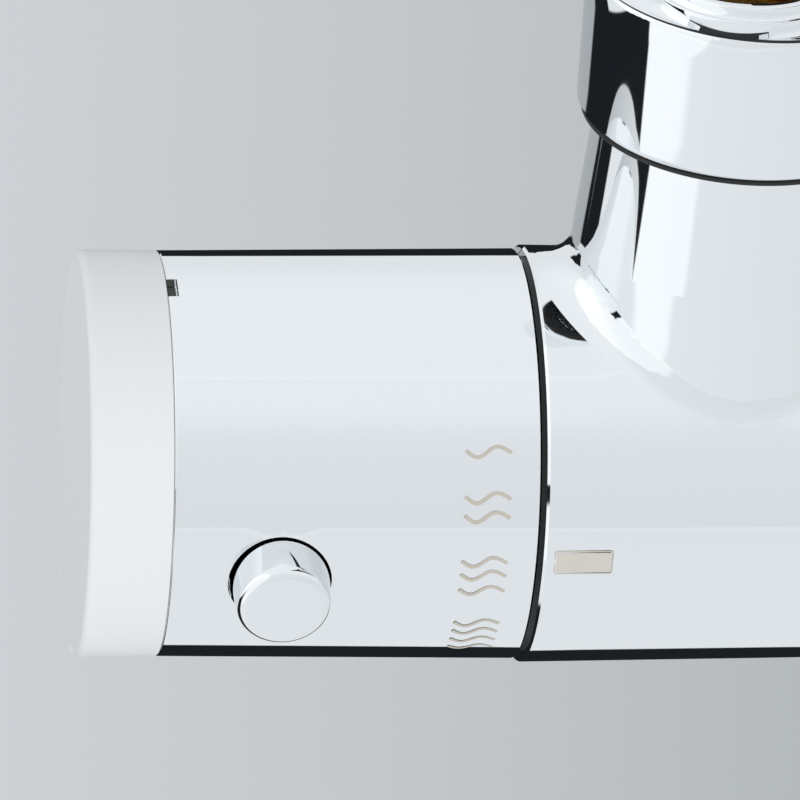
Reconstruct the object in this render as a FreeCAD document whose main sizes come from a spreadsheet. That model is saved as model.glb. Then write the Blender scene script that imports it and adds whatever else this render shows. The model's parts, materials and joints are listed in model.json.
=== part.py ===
import FreeCAD, Part
import math
import os
import Sketcher
from FreeCAD import Placement, Rotation, Vector

# Thermostatic bar shower valve, millimetres.
# Bar frame: X along the bar with the temperature handle at -X, Y towards the wall, Z up.
# Every part is modelled in the bar frame and then carried to the row frame, whose origin is
# the point midway between the two wall inlets, on the plane of their mouths.

doc = FreeCAD.newDocument("shower_valve")
sheet = doc.addObject("Spreadsheet::Sheet", "dims")

SIZES = [
    ("inlet_half", "75", "half of the 150 mm between inlet centres"),
    ("shift_x", "2.5", "inlet bore offset from its neck along the bar"),
    ("shift_z", "7.3", "inlet bore offset from its neck upwards"),
    ("neck_at", "=inlet_half - shift_x", "neck axis from the middle of the bar"),
    ("bar_end_r", "24.85", "body radius at its ends"),
    ("bar_mid_r", "24.45", "body radius in the middle"),
    ("body_half", "95.5", "half length of the body"),
    ("gap_at", "96.1", "inner end of each handle sleeve"),
    ("joint_at", "138.7", "joint of sleeve and end cap"),
    ("face_at", "148.3", "flat face of the end cap"),
    ("sleeve_in_r", "24.4", "sleeve radius beside the body"),
    ("sleeve_out_r", "24.0", "sleeve radius at the end cap"),
    ("neck_top_r", "16.9", "neck radius under the collar"),
    ("neck_low_r", "18.3", "neck radius above the flare"),
    ("collar_low", "46.1", "lower face of the collar from the bar axis"),
    ("collar_top", "64.2", "outer face of the collar from the bar axis"),
    ("collar_low_r", "19.2", "collar radius at its lower face"),
    ("collar_top_r", "19.35", "collar radius at its outer face"),
    ("step_at", "66.2", "top of the first ring on the collar"),
    ("mouth_at", "67.8", "mouth of the inlet from the bar axis"),
    ("step_one_r", "11.4", "first ring radius"),
    ("step_two_r", "11.0", "second ring radius"),
    ("thread_r", "9.32", "minor radius of the G 1/2 inlet thread"),
    ("socket_r", "13.2", "socket in the collar for the spigot"),
    ("spigot_r", "13.1", "spigot on the neck"),
    ("button_at", "126.0", "button axis from the middle of the bar"),
    ("button_r", "5.5", "button radius"),
    ("button_hole_r", "6.05", "hole for the button in the sleeve"),
    ("button_top", "28.2", "button face from the bar axis"),
    ("boss_r", "13.4", "outside of the outlet boss brazed into the body"),
    ("boss_bore_r", "8.6", "bore of the outlet boss"),
    ("outlet_r", "10.48", "outside of the G 1/2 hose thread"),
    ("outlet_end", "45.5", "lower end of the hose outlet below the bar axis"),
]
for row, (alias, value, note) in enumerate(SIZES, start=1):
    sheet.set("A%d" % row, note)
    sheet.set("B%d" % row, value)
    sheet.setAlias("B%d" % row, alias)
doc.recompute()

BUTTON_TILT = -8.5          # degrees from straight up, towards the user
DRAWN = []


def size(alias):
    return float(sheet.get(alias))


def value_of(coordinate):
    """A coordinate is a number, an alias, or (alias, offset) or (alias, offset, sign)."""
    if isinstance(coordinate, str):
        return size(coordinate)
    if isinstance(coordinate, tuple):
        sign = coordinate[2] if len(coordinate) > 2 else 1
        return sign * size(coordinate[0]) + coordinate[1]
    return float(coordinate)


def expression_of(coordinate):
    if isinstance(coordinate, str):
        return "dims.%s" % coordinate
    if isinstance(coordinate, tuple):
        sign = coordinate[2] if len(coordinate) > 2 else 1
        return "%d * dims.%s + (%.4f)" % (sign, coordinate[0], coordinate[1])
    return None


ORIGIN_SHIFT = Vector(0, -size("mouth_at"), -size("shift_z"))


def placed(x=0.0, y=0.0, z=0.0, rotation=None):
    return Placement(ORIGIN_SHIFT + Vector(x, y, z), rotation or Rotation())


ALONG_BAR = placed()
DOWN = placed(rotation=Rotation(Vector(0, 1, 0), 90))
TO_WALL = Rotation(Vector(0, 0, 1), 90)


def along_neck(side):
    """Local X runs along the neck towards the wall; side is -1 or +1."""
    return placed(x=side * size("neck_at"), rotation=TO_WALL)


def along_button():
    tilt = math.radians(BUTTON_TILT)
    outward = Vector(0, math.sin(tilt), math.cos(tilt))
    return placed(x=-size("button_at"), rotation=Rotation(Vector(1, 0, 0), outward))


def new_body(label, placement):
    body = doc.addObject("PartDesign::Body", label)
    body.Label = label
    body.Placement = placement
    DRAWN.append(body)
    return body


def plane_of(body, plane):
    for feature in body.Origin.OriginFeatures:
        if feature.Role == plane:
            return feature
    raise ValueError(plane)


def add_sketch(body, plane="XY_Plane", offset=0.0):
    sketch = doc.addObject("Sketcher::SketchObject", body.Label + "_sketch")
    body.addObject(sketch)
    sketch.AttachmentSupport = [(plane_of(body, plane), "")]
    sketch.MapMode = "FlatFace"
    sketch.AttachmentOffset = Placement(Vector(0, 0, offset), Rotation())
    return sketch


def arc_through(start, middle, end):
    """Counter-clockwise arc through three points, and whether it begins at start."""
    reference = Part.Arc(start, middle, end).toShape().Curve
    centre = reference.Center
    angles = [math.atan2(p.y - centre.y, p.x - centre.x) for p in (start, middle, end)]
    to_middle = (angles[1] - angles[0]) % (2 * math.pi)
    to_end = (angles[2] - angles[0]) % (2 * math.pi)
    forward = to_middle < to_end
    first, last = (angles[0], angles[2]) if forward else (angles[2], angles[0])
    if last < first:
        last += 2 * math.pi
    circle = Part.Circle(centre, Vector(0, 0, 1), reference.Radius)
    return Part.ArcOfCircle(circle, first, last), forward, reference.Radius


def draw_profile(sketch, points):
    """Closed outline. A point is (axial, radial) or (axial, radial, (middle x, middle r)),
    where the middle belongs to an arc that ends in this point."""
    count = len(points)
    starts = []
    radii = []
    for index in range(count):
        here = points[index]
        there = points[(index + 1) % count]
        start = Vector(value_of(here[0]), value_of(here[1]), 0)
        end = Vector(value_of(there[0]), value_of(there[1]), 0)
        forward = True
        if len(there) > 2:
            middle = Vector(value_of(there[2][0]), value_of(there[2][1]), 0)
            arc, forward, radius = arc_through(start, middle, end)
            sketch.addGeometry(arc, False)
            radii.append((index, radius))
        else:
            sketch.addGeometry(Part.LineSegment(start, end), False)
        starts.append((1, 2) if forward else (2, 1))
    for index in range(count):
        following = (index + 1) % count
        sketch.addConstraint(
            Sketcher.Constraint("Coincident", index, starts[index][1],
                                following, starts[following][0]))
    for index, radius in radii:
        sketch.addConstraint(Sketcher.Constraint("Radius", index, radius))
    for index in range(count):
        for kind, coordinate in zip(("DistanceX", "DistanceY"), points[index][:2]):
            number = sketch.addConstraint(
                Sketcher.Constraint(kind, -1, 1, index, starts[index][0],
                                    value_of(coordinate)))
            text = expression_of(coordinate)
            if text:
                sketch.setExpression("Constraints[%d]" % number, text)


def turned(body, points, cut=False, mirror=False):
    """Turn an outline about the body's local X axis."""
    if mirror:
        flipped = []
        for point in points:
            axial = point[0]
            if isinstance(axial, str):
                axial = (axial, 0.0, -1)
            elif isinstance(axial, tuple):
                sign = axial[2] if len(axial) > 2 else 1
                axial = (axial[0], -axial[1], -sign)
            else:
                axial = -axial
            if len(point) > 2:
                middle = (-value_of(point[2][0]), point[2][1])
                flipped.append((axial, point[1], middle))
            else:
                flipped.append((axial, point[1]))
        points = flipped
    sketch = add_sketch(body)
    draw_profile(sketch, points)
    kind = "PartDesign::Groove" if cut else "PartDesign::Revolution"
    feature = doc.addObject(kind, body.Label + ("_groove" if cut else "_turn"))
    body.addObject(feature)
    feature.Profile = sketch
    feature.ReferenceAxis = (sketch, ["H_Axis"])
    feature.Angle = 360
    body.Tip = feature
    doc.recompute()
    return feature


def extrude(body, shapes, length, plane="YZ_Plane", offset=0.0, cut=False,
            reverse=False):
    """Pad or pocket of circles (y, z, radius) and outlines [(y, z), ...]."""
    sketch = add_sketch(body, plane, offset)
    for shape in shapes:
        if isinstance(shape, list):
            corners = [Vector(value_of(a), value_of(b), 0) for a, b in shape]
            for index, corner in enumerate(corners):
                after = corners[(index + 1) % len(corners)]
                sketch.addGeometry(Part.LineSegment(corner, after), False)
        else:
            centre = Vector(value_of(shape[0]), value_of(shape[1]), 0)
            number = sketch.addGeometry(
                Part.Circle(centre, Vector(0, 0, 1), value_of(shape[2])), False)
            constraint = sketch.addConstraint(
                Sketcher.Constraint("Radius", number, value_of(shape[2])))
            text = expression_of(shape[2])
            if text:
                sketch.setExpression("Constraints[%d]" % constraint, text)
    kind = "PartDesign::Pocket" if cut else "PartDesign::Pad"
    feature = doc.addObject(kind, body.Label + ("_pocket" if cut else "_pad"))
    body.addObject(feature)
    feature.Profile = sketch
    feature.Length = value_of(length)
    feature.Reversed = reverse
    body.Tip = feature
    doc.recompute()
    return feature


def round_edges(body, radius, wanted, chamfer=False):
    """Fillet or chamfer the edges for which wanted(edge) is true."""
    last = body.Tip
    names = []
    for index, edge in enumerate(last.Shape.Edges, start=1):
        if wanted(edge):
            names.append("Edge%d" % index)
    if not names:
        raise ValueError("no edge to round on " + body.Label)
    kind = "PartDesign::Chamfer" if chamfer else "PartDesign::Fillet"
    feature = doc.addObject(kind, body.Label + ("_chamfer" if chamfer else "_fillet"))
    body.addObject(feature)
    feature.Base = (last, names)
    if chamfer:
        feature.Size = radius
    else:
        feature.Radius = radius
    body.Tip = feature
    doc.recompute()
    return feature


def is_circle(edge, radius, axial=None, tolerance=0.02):
    curve = edge.Curve
    if curve.TypeId != "Part::GeomCircle" or abs(curve.Radius - radius) > tolerance:
        return False
    return axial is None or abs(curve.Center.x - axial) < tolerance


def around(body, feature, count):
    pattern = doc.addObject("PartDesign::PolarPattern", body.Label + "_pattern")
    body.addObject(pattern)
    pattern.Originals = [feature]
    pattern.Axis = (plane_axis(body, "X_Axis"), [""])
    pattern.Angle = 360
    pattern.Occurrences = count
    body.Tip = pattern
    doc.recompute()
    return pattern


def plane_axis(body, role):
    for feature in body.Origin.OriginFeatures:
        if feature.Role == role:
            return feature
    raise ValueError(role)


def ring(start, end, inner, outer):
    return [(start, inner), (start, outer), (end, outer), (end, inner)]


def rings(label, placement_list, rows):
    """Seal rings of round section in one node: rows of (placement, axial, centre r, wire r)."""
    parts = []
    for number, (placement, axial, centre_r, wire_r) in enumerate(rows):
        torus = doc.addObject("Part::Torus", "%s_%d" % (label, number))
        torus.Radius1 = centre_r
        torus.Radius2 = wire_r
        tip_over = Placement(Vector(axial, 0, 0), Rotation(Vector(0, 1, 0), 90))
        torus.Placement = placement.multiply(tip_over)
        parts.append(torus)
    if len(parts) == 1:
        joined = parts[0]
    else:
        joined = doc.addObject("Part::MultiFuse", label)
        joined.Shapes = parts
    joined.Label = label
    DRAWN.append(joined)
    doc.recompute()
    return joined


def spring(label, placement, start, length, radius, wire, turns):
    """Round-wire coil along the placement's local X axis, with the ends standing clear."""
    pitch = (length - 2 * wire) / turns
    helix = Part.makeHelix(pitch, pitch * turns, radius)
    profile = Part.Wire([Part.makeCircle(wire, Vector(radius, 0, 0), Vector(0, 1, 0))])
    coil = Part.Wire(helix).makePipeShell([profile], True, True)
    turned_coil = coil.copy()
    turned_coil.Placement = Placement(Vector(start + wire, 0, 0),
                                      Rotation(Vector(0, 1, 0), 90))
    feature = doc.addObject("Part::Feature", label)
    feature.Shape = turned_coil
    feature.Placement = placement.multiply(turned_coil.Placement)
    feature.Label = label
    DRAWN.append(feature)
    return feature


# ---------------------------------------------------------------- valve body
body = new_body("valve_body", ALONG_BAR)
turned(body, [
    (("body_half", 0, -1), 0.0),
    (("body_half", 0, -1), ("bar_end_r", -0.3)),
    (("body_half", 0.3, -1), "bar_end_r"),
    (-60.0, "bar_mid_r"),
    (60.0, "bar_mid_r"),
    (("body_half", -0.3), "bar_end_r"),
    ("body_half", ("bar_end_r", -0.3)),
    ("body_half", 0.0),
])


def neck_outline(side):
    """Half outline of a neck and its spigot, in the XY plane beside the neck's axis."""
    centre = side * size("neck_at")
    return [
        (centre, 5.0),
        (centre + size("neck_low_r") + 0.6, 5.0),
        (centre + size("neck_low_r"), 30.0),
        (centre + size("neck_top_r"), size("collar_low")),
        (centre + size("spigot_r"), size("collar_low")),
        (centre + size("spigot_r"), 55.0),
        (centre, 55.0),
    ]


def turn_about_neck(side, points, cut):
    sketch = add_sketch(body)
    for index, (x, y) in enumerate(points):
        after = points[(index + 1) % len(points)]
        sketch.addGeometry(Part.LineSegment(Vector(x, y, 0), Vector(after[0], after[1], 0)),
                           False)
    centre = side * size("neck_at")
    axis = sketch.addGeometry(Part.LineSegment(Vector(centre, 0, 0), Vector(centre, 70, 0)),
                              True)
    kind = "PartDesign::Groove" if cut else "PartDesign::Revolution"
    feature = doc.addObject(kind, "neck_groove" if cut else "neck_turn")
    body.addObject(feature)
    feature.Profile = sketch
    feature.ReferenceAxis = (sketch, ["Axis0"])
    feature.Angle = 360
    body.Tip = feature
    doc.recompute()
    return axis


for side in (-1, 1):
    turn_about_neck(side, neck_outline(side), False)

def is_neck_root(edge):
    box = edge.BoundBox
    if edge.Curve.TypeId in ("Part::GeomCircle", "Part::GeomLine"):
        return False
    on_neck = box.YMin > 10.0 and box.YMax < 27.0 and box.ZLength > 8.0
    return on_neck and abs(abs(box.Center.x) - size("neck_at")) < 20.0


round_edges(body, 4.2, is_neck_root)

# cavity: thermostat chamber at -X, mixed-water chamber, flow valve chamber at +X
turned(body, [
    (-97.0, 0.0),
    (-97.0, 17.2), (-86.0, 17.2),
    (-86.0, 16.0), (-79.0, 16.0),
    (-79.0, 18.5), (-66.0, 18.5),
    (-66.0, 15.0), (-55.0, 15.0),
    (-55.0, 18.0), (-44.0, 18.0),
    (-44.0, 14.2), (-37.8, 14.2),
    (-37.8, 13.0), (42.0, 13.0),
    (42.0, 8.0), (46.0, 8.0),
    (46.0, 15.5), (60.0, 15.5),
    (60.0, 12.5), (72.0, 12.5),
    (72.0, 16.0), (97.0, 16.0),
    (97.0, 0.0),
], cut=True)

for side in (-1, 1):
    centre = side * size("neck_at")
    turn_about_neck(side, [
        (centre, 17.0),
        (centre + 6.4, 17.0),
        (centre + 6.4, 36.0),
        (centre + 10.2, 36.0),
        (centre + 10.2, 56.0),
        (centre, 56.0),
    ], True)
    turn_about_neck(side, [
        (centre + 12.2, 46.9), (centre + 14.0, 46.9),
        (centre + 14.0, 51.1), (centre + 12.2, 51.1),
    ], True)
    turn_about_neck(side, [
        (centre + 11.3, 52.2), (centre + 14.0, 52.2),
        (centre + 14.0, 54.4), (centre + 11.3, 54.4),
    ], True)

# cold duct in the wall side of the casting, and mixed-water duct to the hose outlet
extrude(body, [(19.8, 0.0, 3.0)], 122.5, offset=-50.0, cut=True, reverse=True)
extrude(body, [(0.0, -17.6, 3.0)], 54.0, cut=True, reverse=True)
extrude(body, [(0.0, 0.0, "boss_bore_r")], 16.0, plane="XY_Plane", offset=-31.5, cut=True,
        reverse=True)
# seat for the outlet boss under the middle of the bar
extrude(body, [(0.0, 0.0, ("boss_r", 0.05))], 31.5 - 21.4, plane="XY_Plane", offset=-31.5,
        cut=True, reverse=True)

# ---------------------------------------------------------------- wall unions
for side, name in ((-1, "union_left"), (1, "union_right")):
    union = new_body(name, along_neck(side))
    turned(union, [
        ("collar_low", 0.0),
        ("collar_low", "collar_low_r"),
        ("collar_top", "collar_top_r"),
        ("collar_top", 0.0),
    ])
    round_edges(union, 1.1, lambda e: is_circle(e, size("collar_low_r")))
    round_edges(union, 0.7, lambda e: is_circle(e, size("collar_top_r")))
    centre = (-side * size("shift_x"), size("shift_z"))
    rise = size("step_at") - size("collar_top")
    extrude(union, [(centre[0], centre[1], "step_one_r")], rise,
            offset=size("collar_top"))
    extrude(union, [(centre[0], centre[1], "step_two_r")],
            size("mouth_at") - size("step_at"), offset=size("step_at"))
    round_edges(union, 0.25, lambda e: is_circle(e, size("step_one_r"), size("step_at"))
                or is_circle(e, size("step_two_r"), size("mouth_at")))
    turned(union, [(("collar_low", -1.0), 0.0), (("collar_low", -1.0), "socket_r"),
                   (57.0, "socket_r"), (57.0, 0.0)], cut=True)
    extrude(union, [(centre[0], centre[1], "thread_r")], size("mouth_at") - 57.0,
            offset=size("mouth_at"), cut=True)
    round_edges(union, 0.35, lambda e: is_circle(e, size("thread_r"), size("mouth_at")),
                chamfer=True)
    extrude(union, [(49.0, 0.0, 2.05)], 21.0, plane="XY_Plane", offset=0.0, cut=True)

# grub screws that lock each union on its spigot, from below
grub_parts = []
for side in (-1, 1):
    outer = doc.addObject("Part::Cylinder", "grub_%d" % side)
    outer.Radius = 1.95
    outer.Height = 6.4
    outer.Placement = placed(side * size("neck_at"), 49.0, -18.8)
    key = doc.addObject("Part::Prism", "grub_key_%d" % side)
    key.Polygon = 6
    key.Circumradius = 1.1
    key.Height = 2.5
    key.Placement = placed(side * size("neck_at"), 49.0, -18.9)
    cut = doc.addObject("Part::Cut", "grub_screw_%d" % side)
    cut.Base = outer
    cut.Tool = key
    grub_parts.append(cut)
grubs = doc.addObject("Part::MultiFuse", "union_grub_screws")
grubs.Shapes = grub_parts
grubs.Label = "union_grub_screws"
DRAWN.append(grubs)

rings("spigot_seals", None, [(along_neck(-1), 53.3, 12.25, 0.93),
                             (along_neck(1), 53.3, 12.25, 0.93)])

# strainers and check valves in both necks
for side, name in ((-1, "left"), (1, "right")):
    strainer = new_body("inlet_strainer_" + name, along_neck(side))
    turned(strainer, [(55.2, 10.6), (55.2, 13.05), (56.5, 13.05), (56.5, 0.0),
                      (55.9, 0.0), (55.9, 10.6)])
    housing = new_body("check_housing_" + name, along_neck(side))
    turned(housing, [
        (36.1, 0.0), (36.1, 10.1), (54.8, 10.1), (54.8, 6.0), (53.2, 5.2), (52.0, 6.4),
        (52.0, 8.4), (38.4, 8.4), (38.4, 0.0),
    ])
    extrude(housing, [(0.0, 0.0, 1.6)], 6.0, offset=35.0, cut=True, reverse=True)
    hole = extrude(housing, [(5.0, 0.0, 2.0)], 3.4, offset=35.0, cut=True, reverse=True)
    around(housing, hole, 5)
    poppet = new_body("check_poppet_" + name, along_neck(side))
    turned(poppet, [
        (37.0, 0.0), (37.0, 1.5), (49.6, 1.5), (49.6, 7.6), (51.9, 7.6),
        (51.9, 5.4), (52.7, 4.2), (53.0, 0.0),
    ])
    spring("check_spring_" + name, along_neck(side), 38.5, 11.0, 3.0, 0.35, 5)

# ---------------------------------------------------------------- thermostat cartridge
cartridge = new_body("cartridge_housing", ALONG_BAR)
turned(cartridge, [
    (-88.0, 10.5), (-88.0, 17.0), (-86.0, 17.0), (-86.0, 15.85), (-84.0, 15.85),
    (-84.0, 14.2), (-81.8, 14.2), (-81.8, 15.85), (-79.0, 15.85), (-79.0, 14.0),
    (-66.0, 14.0), (-66.0, 14.85), (-61.6, 14.85), (-61.6, 13.2), (-59.4, 13.2),
    (-59.4, 14.85), (-55.0, 14.85), (-55.0, 13.5), (-44.0, 13.5), (-44.0, 14.05),
    (-42.1, 14.05), (-42.1, 12.4), (-39.9, 12.4), (-39.9, 14.05), (-37.9, 14.05),
    (-37.9, 8.5), (-42.0, 8.5), (-42.0, 10.5),
])
hot_port = extrude(cartridge, [[(9.0, -3.0), (16.0, -3.0), (16.0, 3.0), (9.0, 3.0)]], 7.0,
                   offset=-69.0, cut=True)
around(cartridge, hot_port, 4)
cold_port = extrude(cartridge, [[(9.0, -3.0), (16.0, -3.0), (16.0, 3.0), (9.0, 3.0)]], 5.0,
                    offset=-47.0, cut=True)
around(cartridge, cold_port, 4)

rings("cartridge_seals", None, [(ALONG_BAR, -82.9, 15.1, 0.87),
                                (ALONG_BAR, -60.5, 14.1, 0.87),
                                (ALONG_BAR, -41.0, 13.3, 0.87)])

mesh = new_body("cartridge_filter", ALONG_BAR)
turned(mesh, ring(-78.6, -66.4, 14.05, 14.45))

nut = new_body("cartridge_nut", ALONG_BAR)
turned(nut, [
    (-98.6, 7.5), (-98.6, 11.0), (-95.4, 11.0), (-95.4, 17.1), (-88.0, 17.1),
    (-88.0, 9.6), (-94.2, 9.6), (-94.2, 7.5),
])
spanner_hole = extrude(nut, [(14.2, 0.0, 1.3)], 3.0, offset=-96.4, cut=True, reverse=True)
around(nut, spanner_hole, 4)

spindle = new_body("temperature_spindle", ALONG_BAR)
turned(spindle, [
    (-114.0, 2.0), (-114.0, 5.0), (-99.0, 5.0), (-99.0, 7.43), (-94.1, 7.43), (-94.1, 9.3),
    (-91.5, 9.3), (-91.5, 6.0), (-76.6, 6.0), (-76.6, 0.0), (-104.0, 0.0), (-104.0, 2.0),
])

regulator = new_body("regulating_nut", ALONG_BAR)
turned(regulator, [
    (-86.8, 6.06), (-86.8, 10.4), (-73.0, 10.4), (-73.0, 2.1), (-75.0, 2.1), (-75.0, 6.06),
])
spring("overload_spring", ALONG_BAR, -72.9, 8.8, 5.6, 0.7, 4)

wax = new_body("wax_element", ALONG_BAR)
turned(wax, [
    (-75.4, 0.0), (-75.4, 1.95), (-67.0, 1.95), (-67.0, 3.6), (-64.0, 3.6), (-64.0, 7.6),
    (-62.0, 7.6), (-62.0, 5.5), (-47.0, 5.5), (-45.5, 4.0), (-45.5, 0.0),
])

shuttle = new_body("shuttle", ALONG_BAR)
turned(shuttle, [
    (-62.0, 5.6), (-62.0, 8.0), (-66.5, 9.0), (-66.5, 10.4), (-52.0, 10.4), (-52.0, 9.2),
    (-60.0, 9.2), (-60.0, 5.6),
])
flow_hole = extrude(shuttle, [(7.0, 0.0, 1.1)], 4.0, offset=-63.0, cut=True, reverse=True)
around(shuttle, flow_hole, 6)
spring("return_spring", ALONG_BAR, -59.8, 17.6, 8.0 - 0.5, 0.6, 5)

# fixed stop ring on the nut's nose, with two lugs that the carrier's lug meets
stop_ring = new_body("temperature_stop_ring", ALONG_BAR)
turned(stop_ring, ring(-98.4, -96.3, 11.1, 14.6))


def lug(target, angle, half_width, inner, outer, start, length):
    """Lug at an angle about X from +Y towards +Z, padded along +X from start."""
    corners = []
    for radius, turn in ((inner, -half_width), (outer, -half_width),
                         (outer, half_width), (inner, half_width)):
        at = math.radians(angle + turn)
        corners.append((radius * math.cos(at), radius * math.sin(at)))
    extrude(target, [corners], length, offset=start)


lug(stop_ring, 215.0, 6.0, 13.0, 18.0, -98.4, 2.1)
lug(stop_ring, 343.0, 6.0, 13.0, 18.0, -98.4, 2.1)


# ---------------------------------------------------------------- handles
LUG_TURN = -96.0            # degrees from straight up towards the wall: the user's side
LUG_AXIS_R = 18.1           # the lug is turned about a line this far from the bar's axis


def finger_lug(cap, side):
    """Low rounded lug on the cap, 0.1 mm short of its face, that runs out before the joint."""
    sketch = add_sketch(cap)
    sketch.AttachmentOffset = Placement(Vector(0, 0, 0),
                                        Rotation(Vector(1, 0, 0), 90.0 - LUG_TURN))
    face = size("face_at") - 0.1
    draw_profile(sketch, [
        (side * face, LUG_AXIS_R),
        (side * face, LUG_AXIS_R + 8.4),
        (side * (face - 0.9), LUG_AXIS_R + 9.3,
         (side * (face - 0.264), LUG_AXIS_R + 9.036)),
        (side * 139.6, LUG_AXIS_R + 5.2,
         (side * 144.2, LUG_AXIS_R + 8.1)),
        (side * 139.6, LUG_AXIS_R),
    ])
    sketch.addGeometry(Part.LineSegment(Vector(side * 139.6, LUG_AXIS_R, 0),
                                        Vector(side * face, LUG_AXIS_R, 0)), True)
    feature = doc.addObject("PartDesign::Revolution", cap.Label + "_lug")
    cap.addObject(feature)
    feature.Profile = sketch
    feature.ReferenceAxis = (sketch, ["Axis0"])
    feature.Angle = 360
    cap.Tip = feature
    doc.recompute()


def handle(side, word):
    """Sleeve, end cap, carrier, screw and glide ring; side -1 is the temperature handle."""
    mirror = side > 0
    sleeve = new_body(word + "_sleeve", ALONG_BAR)
    turned(sleeve, [
        (("joint_at", 0.05, -1), 19.5),
        (("joint_at", 0.05, -1), ("sleeve_out_r", -0.12)),
        (("joint_at", 0.17, -1), "sleeve_out_r"),
        (("gap_at", -0.25, -1), "sleeve_in_r"),
        (("gap_at", 0, -1), ("sleeve_in_r", -0.25)),
        (("gap_at", 0, -1), 20.5),
        (-112.0, 20.5),
        (-112.0, 19.5),
    ], mirror=mirror)
    cap = new_body(word + "_end_cap", ALONG_BAR)
    turned(cap, [
        (("face_at", 0, -1), 0.0),
        (("face_at", 0, -1), 23.1),
        (("face_at", 0.95, -1), ("sleeve_out_r", 0.05),
         (0.95 - size("face_at") - 0.672, 23.772)),
        (("joint_at", -0.12, -1), ("sleeve_out_r", -0.02)),
        (("joint_at", 0, -1), ("sleeve_out_r", -0.12)),
        (("joint_at", 0, -1), 19.4),
        (-136.2, 19.4),
        (-136.2, 0.0),
    ], mirror=mirror)
    finger_lug(cap, side)
    turned(cap, [(-145.0, 0.0), (-145.0, 17.0), (-136.0, 17.0), (-136.0, 0.0)],
           cut=True, mirror=mirror)
    carrier = new_body(word + "_carrier", ALONG_BAR)
    turned(carrier, [
        (-116.0, 2.1), (-116.0, 8.0), (-112.0, 8.0), (-112.0, 20.42), (-108.5, 20.42),
        (-108.5, 8.0), (-100.5, 8.0), (-100.5, 5.06), (-114.05, 5.06), (-114.05, 2.1),
    ], mirror=mirror)
    screw = new_body(word + "_screw", ALONG_BAR)
    turned(screw, [
        (-118.6, 0.0), (-118.6, 3.6), (-116.0, 3.6), (-116.0, 1.95), (-105.0, 1.95),
        (-105.0, 0.0),
    ], mirror=mirror)
    key = [(1.5 * math.cos(math.radians(60 * i)), 1.5 * math.sin(math.radians(60 * i)))
           for i in range(6)]
    extrude(screw, [key], 1.6, offset=side * 118.6, cut=True, reverse=side < 0)
    glide = new_body(word + "_glide_ring", ALONG_BAR)
    turned(glide, [
        (("gap_at", 0.07, -1), 17.7),
        (("gap_at", 0.07, -1), 23.5),
        (("body_half", 0, -1), 23.5),
        (("body_half", 0, -1), 17.7),
    ], mirror=mirror)
    return sleeve, carrier


sleeve, carrier = handle(-1, "temperature")

# button hole through the sleeve, and the pry notch at the cap joint
tilt = math.radians(BUTTON_TILT)


def slanted_hole(target, radius, low, high, at_x):
    """Round hole from a plane square to the button's axis."""
    sketch = doc.addObject("Sketcher::SketchObject", target.Label + "_slanted")
    target.addObject(sketch)
    sketch.AttachmentSupport = [(plane_of(target, "XY_Plane"), "")]
    sketch.MapMode = "FlatFace"
    turn = Rotation(Vector(1, 0, 0), -BUTTON_TILT)
    sketch.AttachmentOffset = Placement(turn.multVec(Vector(at_x, 0, high)), turn)
    number = sketch.addGeometry(Part.Circle(Vector(0, 0, 0), Vector(0, 0, 1), radius), False)
    sketch.addConstraint(Sketcher.Constraint("Radius", number, radius))
    pocket = doc.addObject("PartDesign::Pocket", target.Label + "_hole")
    target.addObject(pocket)
    pocket.Profile = sketch
    pocket.Length = high - low
    target.Tip = pocket
    doc.recompute()


slanted_hole(sleeve, size("button_hole_r"), 10.0, 30.0, -size("button_at"))
notch_turn = Rotation(Vector(1, 0, 0), -83.0)
notch_sketch = doc.addObject("Sketcher::SketchObject", "notch_sketch")
sleeve.addObject(notch_sketch)
notch_sketch.AttachmentSupport = [(plane_of(sleeve, "XY_Plane"), "")]
notch_sketch.MapMode = "FlatFace"
notch_sketch.AttachmentOffset = Placement(
    notch_turn.multVec(Vector(-size("joint_at"), 0, 26.0)), notch_turn)
notch_corners = [(-1.0, -1.7), (1.3, -1.7), (1.3, 1.7), (-1.0, 1.7)]
for index, corner in enumerate(notch_corners):
    after = notch_corners[(index + 1) % 4]
    notch_sketch.addGeometry(
        Part.LineSegment(Vector(corner[0], corner[1], 0), Vector(after[0], after[1], 0)), False)
notch = doc.addObject("PartDesign::Pocket", "notch_pocket")
sleeve.addObject(notch)
notch.Profile = notch_sketch
notch.Length = 3.4
sleeve.Tip = notch
doc.recompute()

lug(carrier, 270.0, 6.0, 15.4, 18.0, -108.6, 12.0)

guide = new_body("button_guide", ALONG_BAR)
turned(guide, ring(-135.2, -117.0, 12.0, 19.45))
slanted_hole(guide, 7.0, 13.6, 30.0, -size("button_at"))

button = new_body("safety_button", along_button())
turned(button, [
    (16.6, 4.2), (16.6, 6.93), (18.1, 6.93), (18.1, "button_r"),
    (("button_top", -0.6), "button_r"),
    ("button_top", ("button_r", -0.6),
     (size("button_top") - 0.176, size("button_r") - 0.176)),
    ("button_top", 0.0), (25.6, 0.0), (25.6, 4.2),
])
spring("button_spring", along_button(), 13.7, 11.8, 3.2, 0.4, 5)

flow_sleeve, flow_carrier = handle(1, "flow")

# ---------------------------------------------------------------- flow valve
seat = new_body("disc_seat_washer", ALONG_BAR)
turned(seat, ring(46.0, 48.0, 8.2, 11.4))

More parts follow.
